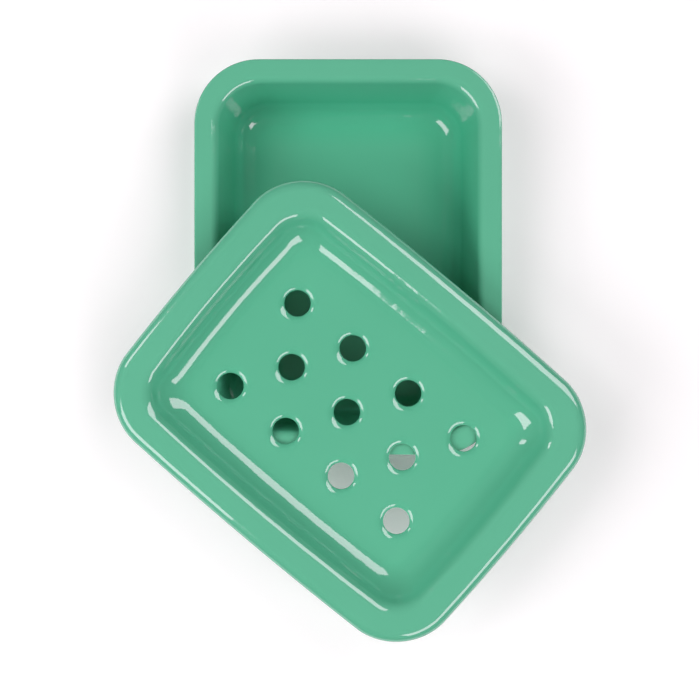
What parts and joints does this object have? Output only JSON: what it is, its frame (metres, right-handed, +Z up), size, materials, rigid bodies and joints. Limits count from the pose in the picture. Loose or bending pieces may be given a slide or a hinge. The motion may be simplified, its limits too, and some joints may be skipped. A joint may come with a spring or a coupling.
{
  "type": "soap dish",
  "caption": "Enamelled steel soap dish: a deep rectangular tray with a flat rim, and a shallow drainer with drawn drain holes and a turned-down lip that lies across it and lifts off.",
  "frame": {"origin": "middle of the tray's flat underside, on the surface that the dish stands on", "axes": "+X across the tray's width, +Y along the tray's length towards its open end, away from the drainer, +Z up"},
  "size_m": [0.1588, 0.1974, 0.036],
  "materials": {
    "tray_enamel": "glossy mint-green vitreous enamel",
    "drainer_enamel": "glossy mint-green vitreous enamel"
  },
  "bodies": {
    "tray": {"tray": "tray_enamel"},
    "drainer": {"drainer": "drainer_enamel"}
  },
  "joints": [
    {"name": "drainer_lift", "type": "slide", "parent": "tray", "child": "drainer", "axis": [0, 0, 1], "range_m": [0, 0.08]}
  ]
}
